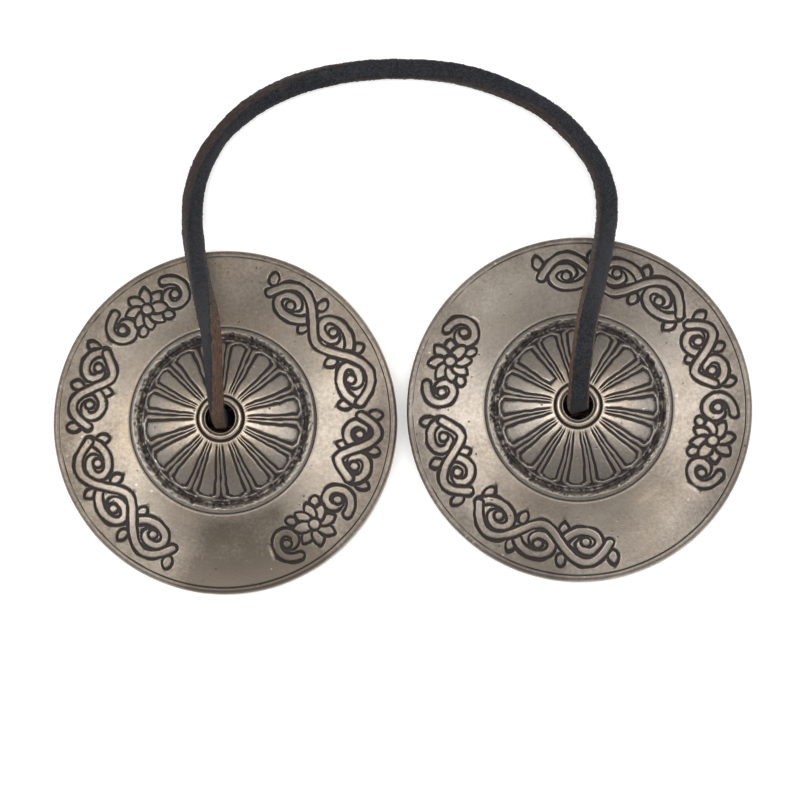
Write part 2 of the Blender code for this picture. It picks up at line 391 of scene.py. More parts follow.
def smooth_curve(route):
    """Closely spaced points on one smooth curve through every point of the route."""
    neighbours = zip(route[:1] + route[:-1], route, route[1:] + route[-1:])
    headings = [heading(before, here, after) for before, here, after in neighbours]
    points = []
    for start, end, leaving, arriving in zip(route, route[1:], headings, headings[1:]):
        reach = (end - start).length / 3
        handles = (start + leaving * reach, end - arriving * reach)
        span = interpolate_bezier(start, *handles, end, SPAN_POINTS + 1)
        points.extend(span[:-1])
    points.append(route[-1].copy())
    return points


def distances(points):
    """How far along its line each point is."""
    reached = [0.0]
    for before, after in zip(points, points[1:]):
        reached.append(reached[-1] + (after - before).length)
    return reached


def even_points(points, spacing):
    """The same line with its points at even distances."""
    lengths = distances(points)
    steps = max(2, round(lengths[-1] / spacing))
    places = np.linspace(0.0, lengths[-1], steps + 1)
    columns = [np.interp(places, lengths, [p[axis] for p in points]) for axis in range(3)]
    return [Vector(place) for place in zip(*columns)]


def tangents(points):
    """The unit direction of the line at each point."""
    neighbours = zip(points[:1] + points[:-1], points[1:] + points[-1:])
    return [(after - before).normalized() for before, after in neighbours]


def strip_section(width, thickness):
    """The corners of a rounded rectangle, with how far across and through it each one is."""
    corners = []
    for side in range(STRIP_SIDES):
        angle = 2 * math.pi * side / STRIP_SIDES
        across = math.copysign(abs(math.cos(angle)) ** (2 / STRIP_SQUARENESS), math.cos(angle))
        through = math.copysign(abs(math.sin(angle)) ** (2 / STRIP_SQUARENESS), math.sin(angle))
        corners.append((across * width / 2, through * thickness / 2, across, through))
    return corners


def add_attribute(mesh, name, values):
    """Give every vertex of a mesh a number that its material can read."""
    made = mesh.attributes.new(name, "FLOAT", "POINT")
    made.data.foreach_set("value", np.asarray(values, dtype=np.float32))


def new_object(name, data):
    """Put a new object in the scene."""
    made = bpy.data.objects.new(name, data)
    bpy.context.scene.collection.objects.link(made)
    return made


def finish_mesh(name, vertices, faces, material):
    """Make a smooth-shaded object from vertices and faces, with one material."""
    mesh = bpy.data.meshes.new(name)
    mesh.from_pydata(vertices, [], faces)
    mesh.materials.append(material)
    mesh.polygons.foreach_set("use_smooth", [True] * len(mesh.polygons))
    return new_object(name, mesh)


def make_strip(name, centres, normals, sizes, material, origin, sense=1):
    """Sweep the strip's section along its centres.

    normals point out of the dyed face, and sizes holds a width and a thickness
    for each centre.  The leather's grain starts at origin along the strip, and
    runs backwards where sense is -1, so that two halves that meet match.
    """
    grain_width, grain_length = STRIP_GRAIN_SIZE
    vertices = []
    strip_places = []
    raw_sides = []
    rows = zip(centres, tangents(centres), normals, sizes, distances(centres))
    for centre, along, normal, (width, thickness), travelled in rows:
        normal = (normal - along * normal.dot(along)).normalized()
        side = along.cross(normal)
        along_strip = origin + sense * travelled
        swell = noise.noise(Vector((along_strip / STRIP_SWELL_LENGTH, 0.5, 0.0)))
        for x, y, across, through in strip_section(width, thickness):
            by_a_corner = ease(0.80, 1.0, abs(through))
            raw = float(ease(0.74, 0.93, abs(across)) * (1 - by_a_corner))
            place = Vector((along_strip / grain_length, sense * x / grain_width, y / grain_width))
            grain = noise.noise(place)
            fray = noise.noise(place * STRIP_FRAY_RATE) * raw
            grow = 1.0 + STRIP_SWELL * swell + STRIP_GRAIN * grain + STRIP_FRAY * fray
            vertices.append(centre + side * (x * grow) + normal * (y * grow))
            strip_places.extend((sense * x / MM, y / MM, along_strip / MM))
            raw_sides.append(raw)
    last = (len(centres) - 1) * STRIP_SIDES
    faces = [tuple(range(STRIP_SIDES))]
    for start in range(0, last, STRIP_SIDES):
        for corner in range(STRIP_SIDES):
            here = start + corner
            after = start + (corner + 1) % STRIP_SIDES
            faces.append((here, here + STRIP_SIDES, after + STRIP_SIDES, after))
    faces.append(tuple(range(last + STRIP_SIDES - 1, last - 1, -1)))
    made = finish_mesh(name, vertices, faces, material)
    made.data.polygons[0].use_smooth = False
    made.data.polygons[-1].use_smooth = False
    add_attribute(made.data, "raw", raw_sides)
    places = made.data.attributes.new("strip", "FLOAT_VECTOR", "POINT")
    places.data.foreach_set("vector", strip_places)
    return made


def rolled_normals(centres, roll):
    """The dyed face's direction at each centre: up, then rolled about the line as the table says."""
    roll_places = [distance * MM for distance, _ in roll]
    degrees = [angle for _, angle in roll]
    normals = []
    angles = []
    for along, travelled in zip(tangents(centres), distances(centres)):
        upright = (FACE_UP - along * FACE_UP.dot(along)).normalized()
        angle = math.radians(float(np.interp(travelled, roll_places, degrees)))
        normals.append(upright * math.cos(angle) + along.cross(upright) * math.sin(angle))
        angles.append(angle)
    return normals, angles


def settle(centres, angles):
    """Lower the line where it lies on the table, so that the rolled strip touches the table."""
    settled = []
    for centre, angle in zip(centres, angles):
        half = STRIP_WIDTH / 2 * abs(math.sin(angle)) + STRIP_THICKNESS / 2 * abs(math.cos(angle))
        spare = max(0.0, LYING_HEIGHT - half)
        lying = 1.0 - float(ease(0.0, LIFT_FADE, centre.z - LYING_HEIGHT))
        settled.append(centre - UP * (spare * lying))
    return settled


def half_line(route, roll):
    """One half of the lace's line, from its knot to the middle of the arch, with its normals."""
    line = smooth_curve([Vector(place) for place in LACE_ROUTE])
    centres = even_points(line[route], RING_SPACING)
    normals, angles = rolled_normals(centres, roll)
    return settle(centres, angles), normals


def knot_line(centre, turn):
    """The overhand knot's line: down from the hole, through the knot, and out along the tail."""
    route = [Vector(place) * MM for place in KNOT_ENTRY_MM]
    for angle in np.linspace(KNOT_START, KNOT_END, KNOT_POINTS):
        x = KNOT_SCALE * (math.sin(angle) + 2 * math.sin(2 * angle))
        y = KNOT_SCALE * (math.cos(angle) - 2 * math.cos(2 * angle))
        route.append(Vector((x, y, -KNOT_RISE * math.sin(3 * angle))))
    for radius, height, lag in KNOT_TAIL:
        angle = TAIL_HEADING + math.radians(lag)
        route.append(Vector((*polar(radius * MM, angle), height * MM)))
    turning = Matrix.Rotation(turn, 3, "Z")
    middle = centre + UP * KNOT_CENTRE_Z
    line = [middle + turning @ place for place in smooth_curve(route)]
    return even_points(line, RING_SPACING), middle


def make_knot(name, centre, tail_direction, material, origin):
    """Make an overhand knot in the strip and the short tail that sticks out of it."""
    centres, middle = knot_line(centre, tail_direction - TAIL_HEADING)
    normals = []
    sizes = []
    for place in centres:
        outward = place - middle
        loose = float(ease(*KNOT_LOOSENS, outward.to_2d().length))
        normals.append(outward.normalized() * (1 - loose) - UP * loose)
        width = KNOT_STRIP[0] + (STRIP_WIDTH - KNOT_STRIP[0]) * loose
        thickness = KNOT_STRIP[1] + (STRIP_THICKNESS - KNOT_STRIP[1]) * loose
        sizes.append((width, thickness))
    return make_strip(name, centres, normals, sizes, material, origin)


# --- the engraved ornament ---
# A stroke is a line of points (u, v) in millimetres along and across the band,
# with a half width at each point.


def leaf(u, v, angle, length, width):
    """A pointed leaf that starts at (u, v) and points along angle, in degrees."""
    steps = np.linspace(0.0, 1.0, 9)
    points = np.array([u, v]) + np.outer(steps * length, polar(1.0, math.radians(angle)))
    halves = 0.06 + (width / 2 - 0.06) * np.sin(np.pi * steps**0.8)
    return points, halves


def dot(u, v, radius):
    """A round boss."""
    return np.array([[u, v], [u + 0.01, v]]), np.array([radius, radius])


def spiral(u, v, start_radius, start_angle, turn_sign, turns, squash=1.0):
    """A spiral that winds in from its start and thins towards its middle, with a bud at the end."""
    steps = np.linspace(0.0, 1.0, 46)
    radii = start_radius + (0.55 - start_radius) * steps**0.75
    angles = math.radians(start_angle) + turn_sign * steps * turns * 2 * np.pi
    points = np.stack([u + radii * np.cos(angles), v + squash * radii * np.sin(angles)], axis=1)
    halves = RIBBON_MM - 0.08 * steps
    return [(points, halves), dot(*points[-1], 0.68)]


def scroll_strokes(length, lobes):
    """A running vine: a waving stem with a spiral in each wave and leaves between them."""
    strokes = []
    pitch = (length - 1.8) / lobes
    start = -length / 2 + 0.9
    turns = LONG_SCROLL_TURNS if pitch > 7.5 else SHORT_SCROLL_TURNS
    for lobe in range(lobes + 1):
        side = (-1) ** lobe
        u = start + lobe * pitch
        strokes.append(leaf(u, side * 1.75, side * 90, 2.1, 1.5))
        if 0 < lobe < lobes:
            strokes.append(leaf(u, -side * 1.95, -side * 90, 1.9, 1.4))
    for lobe in range(lobes):
        side = (-1) ** lobe
        u = start + (lobe + 0.5) * pitch
        squash = min(1.0, 6.6 / pitch)
        strokes.extend(spiral(u, -side * 0.3, pitch / 2, 0, -side, turns, squash))
    u_line = np.linspace(0.0, lobes, lobes * 16 + 1)
    points = np.stack([start + u_line * pitch, SCROLL_HEIGHT_MM * np.sin(np.pi * u_line)], axis=1)
    strokes.append((points, np.full(len(points), RIBBON_MM)))
    return strokes


def rosette_strokes(length):
    """An eight-petalled flower between two scrolls."""
    strokes = []
    for side in (-1, 1):
        start_angle = 90 + 10 * side
        u = side * (length / 2 - 2.9)
        strokes.extend(spiral(u, -0.1, 3.4, start_angle, -side, 1.2))
        strokes.append(leaf(side * 3.9, -3.4, 90 + side * 58, 1.8, 1.3))
    for petal in range(8):
        angle = 22.5 + 45 * petal
        u, v = polar(0.95, math.radians(angle))
        strokes.append(leaf(u, v, angle, 2.95, 1.85))
    strokes.append(dot(0.0, 0.0, 0.9))
    return strokes


def stroke_distance(places, points, halves):
    """How far each place is outside the edge of a stroke."""
    starts = points[:-1]
    runs = points[1:] - starts
    lengths = np.maximum((runs**2).sum(axis=1), 1e-9)
    offsets = places[:, None, :] - starts[None]
    t = np.clip((offsets * runs).sum(axis=2) / lengths, 0, 1)
    gaps = np.linalg.norm(offsets - t[:, :, None] * runs, axis=2)
    return (gaps - halves[:-1] - t * (halves[1:] - halves[:-1])).min(axis=1)


def engrave(places, strokes, seed):
    """Cut the strokes one over another: the height and the darkness that they give each place, with a painted
    highlight on each groove's lip.
    """
    height = np.zeros(len(places))
    dark = np.zeros(len(places))
    groove_widths = GROOVE_WIDTH_MM * (1 + uneven(GROOVE_UNEVEN, seed, *places.T))
    for points, halves in strokes:
        margin = halves.max() + GROOVE_WIDTH_MM * (1 + GROOVE_UNEVEN[0]) + LIP_WIDTH_MM
        low = points.min(axis=0) - margin
        high = points.max(axis=0) + margin
        near = ((places > low) & (places < high)).all(axis=1)
        gap = stroke_distance(places[near], points, halves)
        width = groove_widths[near]
        inner = np.clip(gap / GROOVE_WALL_MM + 0.5, 0, 1)
        outer = np.clip((width - gap) / GROOVE_WALL_MM + 0.5, 0, 1)
        groove = ease(0.0, 1.0, np.minimum(inner, outer))
        covered = 1.0 - inner
        height[near] = height[near] * (1 - covered)
        dark[near] = dark[near] * (1 - covered)
        lip = ridge(gap - width - LIP_WIDTH_MM / 2, LIP_WIDTH_MM / 2) * (dark[near] < CLEAN_BELOW)
        cut = np.minimum(height[near], -GROOVE_DEPTH_MM * groove)
        height[near] = np.where(groove > 0, cut, height[near] + LIP_HEIGHT_MM * lip)
        # A painted highlight lightens the raised lip beside the groove.
        lip_highlight = np.minimum(dark[near], -LIP_HIGHLIGHT * lip)
        dark[near] = np.where(lip > 0, lip_highlight, np.maximum(dark[near], groove))
    return height, dark


def bend_to_band(stroke, middle_angle):
    """Bend a stroke round the disc, to x and y in millimetres from its centre."""
    points, halves = stroke
    angles = middle_angle - points[:, 0] / BAND_MIDDLE_MM
    radii = BAND_MIDDLE_MM + points[:, 1]
    return np.stack(polar(radii, angles), axis=1), halves


def band_strokes(turn):
    """Every stroke of the engraved band of a disc that is turned by some degrees."""
    strokes = []
    for kind, first, last, lobes in ENGRAVED_GROUPS:
        length = math.radians(last - first) * BAND_MIDDLE_MM
        group = scroll_strokes(length, lobes) if kind == "scroll" else rosette_strokes(length)
        middle = math.radians((first + last) / 2 + turn)
        strokes.extend(bend_to_band(stroke, middle) for stroke in group)
    return strokes


def band_columns(turn):
    """The angles of the band's columns: close together in the groups, wide apart between them."""
    edges = []
    for _, first, last, _ in ENGRAVED_GROUPS:
        edges.append((math.radians(first + turn - FINE_MARGIN), math.radians(last + turn + FINE_MARGIN)))
    angles = []
    angle = edges[0][0]
    end = angle + 2 * math.pi
    while angle < end - PLAIN_STEP / 2:
        angles.append(angle)
        inside = any(low <= angle < high or low <= angle - 2 * math.pi < high for low, high in edges)
        angle += FINE_STEP if inside else PLAIN_STEP
    return np.array(angles)


# --- the discs ---


def flange_height(radius):
    """The height of the disc's top between the boss and the rim."""
    rise = np.clip((FLANGE_OUTER_MM - radius) / (FLANGE_OUTER_MM - FLANGE_INNER_MM), 0.0, None)
    return RIM_THICKNESS_MM + FLANGE_RISE_MM * rise**FLANGE_CURVE


def hollow_height(radius):
    """The height of the hollow under the dome."""
    return HOLLOW_MM * 0.5 * (1 + np.cos(np.pi * (radius / HOLLOW_RADIUS_MM) ** 1.15))


def petal_edges(seed, radii):
    """The angle of the line before each petal, for each ring: uneven widths and slightly wavy lines."""
    rng = np.random.default_rng(seed)
    widths = rng.uniform(0.88, 1.12, PETALS)
    starts = np.concatenate([[0.0], np.cumsum(widths)]) / widths.sum() * 2 * np.pi
    edges = []
    for start in starts[:-1]:
        phase = rng.uniform(0.0, 2 * np.pi)
        sway = rng.uniform(0.25, 0.65)
        lean = rng.uniform(-0.55, 0.55)
        wave = sway * np.sin(radii * 0.75 + phase) + lean * (radii - 10.0) / 5.0
        edges.append(start + np.radians(0.9) * wave * 10.0 / np.maximum(radii, 6.0))
    edges.append(edges[0] + 2 * np.pi)
    return np.array(edges)


def petal_columns(seed, radii, turn):
    """The angle and the petal fraction of each vertex of the boss's rings."""
    edges = petal_edges(seed, radii) + math.radians(turn)
    fractions = np.array(PETAL_FRACTIONS)
    across = np.concatenate([fractions / 2, [0.5], 1.0 - fractions[:0:-1] / 2])
    angles = []
    for start, end in zip(edges, edges[1:]):
        angles.append(start[:, None] + (end - start)[:, None] * across)
    inward = np.minimum(across, 1.0 - across) * 2
    return np.concatenate(angles, axis=1), np.tile(inward, PETALS)


def petal_relief(radius, fraction, joined, jitter):
    """The cut depth and the darkness of the petals, with the hub lighter: partly polish, partly a painted
    highlight.

    joined marks a petal whose ridges join near the hub, and jitter makes the
    hand-cut edges uneven.
    """
    to_end = LINE_EDGE + (PETAL_END_MM - radius) * PETAL_END_RATE
    corner = PANEL_EDGE + (fraction + to_end - CORNER_SUM) * CORNER_RATE
    place = np.minimum(np.minimum(fraction, to_end), corner)
    to_hub = 0.12 + (radius - 5.9) * 0.5
    place = np.where(joined, np.minimum(place, np.maximum(to_hub, 0.12)), place) + jitter
    fade = ease(*HUB_FADE_MM, radius)
    panel_edge = PANEL_EDGE + 0.06 * (1.0 - ease(*PANEL_WIDENS_MM, radius))
    line = 1.0 - ease(0.04, 0.04 + LINE_EDGE, place)
    trench = ease(RIDGE_EDGE - 0.03, RIDGE_EDGE + 0.04, place)
    trench = trench * (1.0 - ease(panel_edge - 0.05, panel_edge + 0.03, place))
    sunken = 0.06 * ease(panel_edge - 0.05, panel_edge + 0.05, place)
    depth = (LINE_DEPTH_MM * line + PETAL_DEPTH_MM * trench + sunken) * fade
    outer = ease(*OUTER_SHADE_MM, radius) * ease(panel_edge - 0.02, panel_edge + 0.1, place)
    edge_zone = ease(*EDGE_SHADE_MM, radius)
    dark = np.maximum(line * (0.95 - 0.50 * edge_zone), trench) * fade + 0.08 * outer + 0.18 * edge_zone
    # The hub is lighter: partly polish from wear, partly a painted highlight.
    polish_and_highlight = 0.5 * (1.0 - ease(*HUB_POLISH_AND_HIGHLIGHT_MM, radius))
    return -depth, dark - polish_and_highlight * (dark < CLEAN_BELOW)


def zip_rings(inner, outer):
    """Triangles between two rings that have different vertices."""
    first_in, angles_in = inner
    first_out, angles_out = outer
    count_in = len(angles_in)
    count_out = len(angles_out)
    turn = angles_in[0]
    shifted = (angles_out - turn + np.pi) % (2 * np.pi) - np.pi
    start_out = int(np.argmin(abs(shifted)))
    swept_in = np.append(angles_in, angles_in[0] + 2 * np.pi) - turn
    rolled = np.roll(angles_out, -start_out)
    swept_out = np.unwrap(np.append(rolled, rolled[0] + 2 * np.pi)) - turn
    swept_out -= 2 * np.pi * round(swept_out[0] / (2 * np.pi))
    i = 0
    j = 0
    faces = []
    while i < count_in or j < count_out:
        here_in = first_in + i % count_in
        here_out = first_out + (start_out + j) % count_out
        if i == count_in or (j < count_out and swept_out[j + 1] < swept_in[i + 1]):
            faces.append((here_in, here_out, first_out + (start_out + j + 1) % count_out))
            j += 1
        else:
            faces.append((here_in, here_out, first_in + (i + 1) % count_in))
            i += 1
    return faces


class DiscMesh:
    """Collects the rings of one disc, then joins each ring to the next."""

    def __init__(self):
        self.places = []
        self.darkness = []
        self.turned = []
        self.rings = []
        self.count = 0

    def add_ring(self, angles, radius, height, dark, turned=0.0):
        """Add one closed ring of vertices; turned is how much it shows the marks of the lathe."""
        given = (radius, height, dark, turned)
        radius, height, dark, turned = (np.broadcast_to(value, angles.shape) for value in given)
        self.places.append(np.stack([*polar(radius, angles), height], axis=1))
        self.darkness.append(dark)
        self.turned.append(turned)
        self.rings.append((self.count, angles))
        self.count += len(angles)

    def faces(self):
        """The faces between neighbouring rings, and between the last ring and the first."""
        made = []
        for inner, outer in zip(self.rings, self.rings[1:] + self.rings[:1]):
            count = len(inner[1])
            if count != len(outer[1]):
                made.extend(zip_rings(inner, outer))
                continue
            for i in range(count):
                after = (i + 1) % count
                made.append((inner[0] + i, outer[0] + i, outer[0] + after, inner[0] + after))
        return made


def even_angles(count, turn):
    """Angles all round the disc."""
    return math.radians(turn) + np.linspace(0.0, 2 * np.pi, count, endpoint=False)


def add_collar(disc, turn, seed):
    """The bore and the collar round the hole."""
    angles = even_angles(COLLAR_COLUMNS, turn)
    for radius, height in BORE_MM:
        disc.add_ring(angles, radius, height, 0.75)
    for radius, height in COLLAR_MM:
        x, y = polar(radius, angles)
        wobble = uneven(COLLAR_WOBBLE, seed, x, y) + 0.03 * np.cos(angles - 1.1)
        groove = between(COLLAR_GROOVE_MM, radius)
        step = ridge(radius - COLLAR_STEP_MM, COLLAR_STEP_HALF_MM)
        crown = between(COLLAR_CROWN_MM, radius)
        # The collar's crown is lighter: partly polish from wear, partly a painted highlight.
        dark = max(groove, 0.85 * step) - 0.55 * crown + uneven(COLLAR_STAIN, seed, x, y)
        disc.add_ring(angles, radius + wobble, height, np.clip(dark, -0.6, 1.0))


def add_boss(disc, turn, seed, joined_petal):
    """The dome with its petals, the rough ring and bead round it, and the foot of the flange."""
    boss = np.linspace(BOSS_START_MM, PETAL_END_MM - 0.05, BOSS_RINGS)
    step = np.linspace(PETAL_END_MM + 0.08, STEP_END_MM, STEP_RINGS)
    radii = np.concatenate([boss, step, FOOT_RADII_MM])
    angles, fractions = petal_columns(seed, radii, turn)
    petal_of_column = np.repeat(np.arange(PETALS), len(fractions) // PETALS)
    for radius, ring_angles in zip(radii, angles):
        x, y = polar(radius, ring_angles)
        swell = uneven(BOSS_SWELL, seed, x, y)
        if radius < PETAL_END_MM:
            height = DOME_TOP_MM - DOME_DROP_MM * (radius / DOME_RADIUS_MM) ** 2
            jitter = uneven(PETAL_JITTER, seed, x, y)
            relief, dark = petal_relief(radius, fractions, petal_of_column == joined_petal, jitter)
            disc.add_ring(ring_angles, radius, height + relief + swell, dark)
        elif radius <= STEP_END_MM:
            height = np.interp(radius, *zip(*STEP_MM))
            rough = between(ROUGH_ZONE_MM, radius)
            lumps = uneven(SMALL_LUMPS, seed, x, y) + uneven(LARGE_LUMPS, seed, x, y)
            crest = between(BEAD_CREST_MM, radius)
            foot_line = between(FOOT_LINE_MM, radius)
            wander = uneven(TROUGH_WANDER, seed, x, y)
            trough = ridge(radius + wander - TROUGH_MM, TROUGH_HALF_MM)
            dark = np.maximum(0.63 * trough + 0.18 * rough, 0.85 * foot_line) - 0.46 * rough * lumps
            dark = dark + crest * (0.10 + uneven(BEAD_STAIN, seed, x, y))
            height = height + swell + 0.12 * rough * lumps
            disc.add_ring(ring_angles, radius, height, np.clip(dark, -0.3, 1.0))
        else:
            disc.add_ring(ring_angles, radius, flange_height(radius) + swell, 0.0)


def flange_swell(x, y, seed):
    """The soft unevenness of the cast flange."""
    return uneven(FLANGE_SWELL, seed, x, y) + uneven(FLANGE_RIPPLE, seed, x, y)


def add_band(disc, turn, seed):
    """The flange's band with its engraved ornament."""
    angles = band_columns(turn)
    radii = np.arange(BAND_INNER_MM, BAND_OUTER_MM, BAND_STEP_MM)
    grid_r, grid_a = np.meshgrid(radii, angles, indexing="ij")
    x, y = polar(grid_r, grid_a)
    shaken_x = x + uneven(SHAKE_X, seed, x, y)
    shaken_y = y + uneven(SHAKE_Y, seed, x, y)
    places = np.stack([shaken_x.ravel(), shaken_y.ravel()], axis=1)
    relief, dark = engrave(places, band_strokes(turn), seed)
    dark = dark.reshape(x.shape) * (0.9 + uneven(GROOVE_STAIN, seed, x, y))
    height = flange_height(grid_r) + relief.reshape(x.shape) + flange_swell(x, y, seed)
    for ring in zip(radii, height, dark):
        disc.add_ring(angles, *ring)


def add_rim(disc, turn, seed):
    """The engraved line round the flange and the rounded rim."""
    angles = even_angles(RIM_COLUMNS, turn)
    near_line = polar(30.0, angles)
    wander = uneven(RIM_WANDER, seed, *near_line)
    strength = 0.80 + 0.38 * np.cos(angles - math.radians(turn - 50.0))
    strength = np.clip(strength + uneven(LINE_FADE, seed, *near_line), 0.25, 1.0)
    for radius in RIM_TOP_MM:
        cut = strength * ridge(radius - LINE_RADIUS_MM, LINE_HALF_MM)
        height = flange_height(radius) + flange_swell(*polar(radius, angles), seed)
        disc.add_ring(angles, radius + wander, height - LINE_CUT_MM * cut, np.clip(1.1 * cut, 0, 1))
    nicks = uneven(RIM_NICKS, seed, *polar(32.0, angles))
    for radius, height in RIM_EDGE_MM:
        disc.add_ring(angles, radius - 0.02 + nicks, height, 0.0)


def add_underside(disc, turn):
    """The flat ring that the disc stands on and the hollow under the dome."""
    angles = even_angles(UNDER_COLUMNS, turn)
    for radius, height in UNDERSIDE_MM:
        disc.add_ring(angles, radius, height, 0.0, 1.0)
    for radius in np.linspace(HOLLOW_RADIUS_MM, HOLE_MM, HOLLOW_RINGS):
        # The hollow is darker towards the hole.
        dark = 0.10 * (1.0 - ease(18.0, HOLLOW_RADIUS_MM, radius))
        dark = dark + 0.25 * (1.0 - ease(3.0, 16.0, radius))
        disc.add_ring(angles, radius, hollow_height(radius), dark, 1.0)


def tone_with_painted_shading(places, seed, painted_shading):
    """How light the metal is at each place: cloudy, with painted shade towards the rim and painted shade and
    light on some sides.
    """
    x, y, height = places.T
    radius = np.hypot(x, y)
    top = ease(2.6, 3.2, height)
    # Painted shade, darker towards the rim, with a little painted light by the foot.
    painted_light_and_shade = top * np.interp(radius, *zip(*FLANGE_PAINTED_SHADING))
    top = top * ease(17.0, 20.0, radius)
    # Painted shade on some sides, and painted light where the strength is negative.
    for angle, strength in painted_shading:
        facing = np.cos(np.arctan2(y, x) - math.radians(angle))
        painted_light_and_shade += strength * ease(0.86, 0.96, facing) * top
    clouds = uneven(LARGE_CLOUDS, seed, x, y) + uneven(SMALL_CLOUDS, seed, x, y)
    return 0.5 + clouds - painted_light_and_shade


def make_disc(name, centre, turn, seed, joined_petal, painted_shading, material):
    """Make one cymbal as a single closed mesh."""
    disc = DiscMesh()
    add_collar(disc, turn, seed)
    add_boss(disc, turn, seed, joined_petal)
    add_band(disc, turn, seed)
    add_rim(disc, turn, seed)
    add_underside(disc, turn)
    places = np.concatenate(disc.places)
    vertices = places * MM + np.array(centre)
    made = finish_mesh(name, vertices.tolist(), disc.faces(), material)
    add_attribute(made.data, "patina_and_highlight", np.concatenate(disc.darkness))
    # The tone holds random clouds, and the painted shade and painted light of the flange.
    add_attribute(made.data, "tone_and_painted_light", tone_with_painted_shading(places, seed, painted_shading))
    add_attribute(made.data, "turned", np.concatenate(disc.turned))
    return made


# --- materials ---


def feed(tree, socket, value):
    """Link a socket to another one, or set it to a number or colour."""
    if isinstance(value, bpy.types.NodeSocket):
        tree.links.new(value, socket)
    else:
        socket.default_value = value


def feed_all(tree, node, **inputs):
    """Feed a node's inputs, each by its name with _ for a space."""
    for name, value in inputs.items():
        feed(tree, node.inputs[name.replace("_", " ")], value)


def add_node(tree, kind, settings=None, **inputs):
    """Add a node, with its properties and inputs."""
    made = tree.nodes.new("ShaderNode" + kind)
    for name, value in (settings or {}).items():
        setattr(made, name, value)
    feed_all(tree, made, **inputs)
    return made


def ranged(tree, value, low, high, to_low=0.0, to_high=1.0):
    """Map a number from one range to another."""
    ends = {"From_Min": low, "From_Max": high, "To_Min": to_low, "To_Max": to_high}
    return add_node(tree, "MapRange", Value=value, **ends).outputs["Result"]


def mixed(tree, factor, first, second):
    """Mix two colours, each one a socket or a colour."""
    made = add_node(tree, "Mix", {"data_type": "RGBA"})
    feed(tree, made.inputs[0], factor)
    for index, colour in ((6, first), (7, second)):
        feed(tree, made.inputs[index], (*colour, 1.0) if isinstance(colour, tuple) else colour)
    return made.outputs[2]


def maths(tree, operation, first, second=0.0):
    """Combine two numbers, each one a socket or a number."""
    made = add_node(tree, "Math", {"operation": operation})
    feed(tree, made.inputs[0], first)
    feed(tree, made.inputs[1], second)
    return made.outputs[0]


def times(tree, first, second):
    """The product of two numbers."""
    return maths(tree, "MULTIPLY", first, second)


def plus(tree, first, second):
    """The sum of two numbers."""
    return maths(tree, "ADD", first, second)


def attribute(tree, name, output="Fac"):
    """What the mesh holds for each vertex under a name."""
    return add_node(tree, "Attribute", {"attribute_name": name}).outputs[output]


def speckle(tree, place, scale, detail=4.0, roughness=0.6):
    """A noise texture's number."""
    shape = {"Detail": detail, "Roughness": roughness}
    return add_node(tree, "TexNoise", Vector=place, Scale=scale, **shape).outputs["Fac"]


def spots(tree, place, scale, edge, areas):
    """Small round spots, only in some areas; edge is where a spot has faded to nothing."""
    cells = add_node(tree, "TexVoronoi", Vector=place, Scale=scale)
    return times(tree, ranged(tree, cells.outputs["Distance"], 0.05, edge, 1.0, 0.0), areas)


def raise_bumps(tree, shader, relief, strength, distance):
    """Bend the shader's normal by a relief."""
    bump = add_node(tree, "Bump", Height=relief, Strength=strength, Distance=distance)
    feed_all(tree, shader, Normal=bump.outputs["Normal"])


def new_material(name):
    """Make a material, and give it back with its node tree and its shader."""
    material = bpy.data.materials.new(name)
    material.use_nodes = True
    return material, material.node_tree, material.node_tree.nodes["Principled BSDF"]


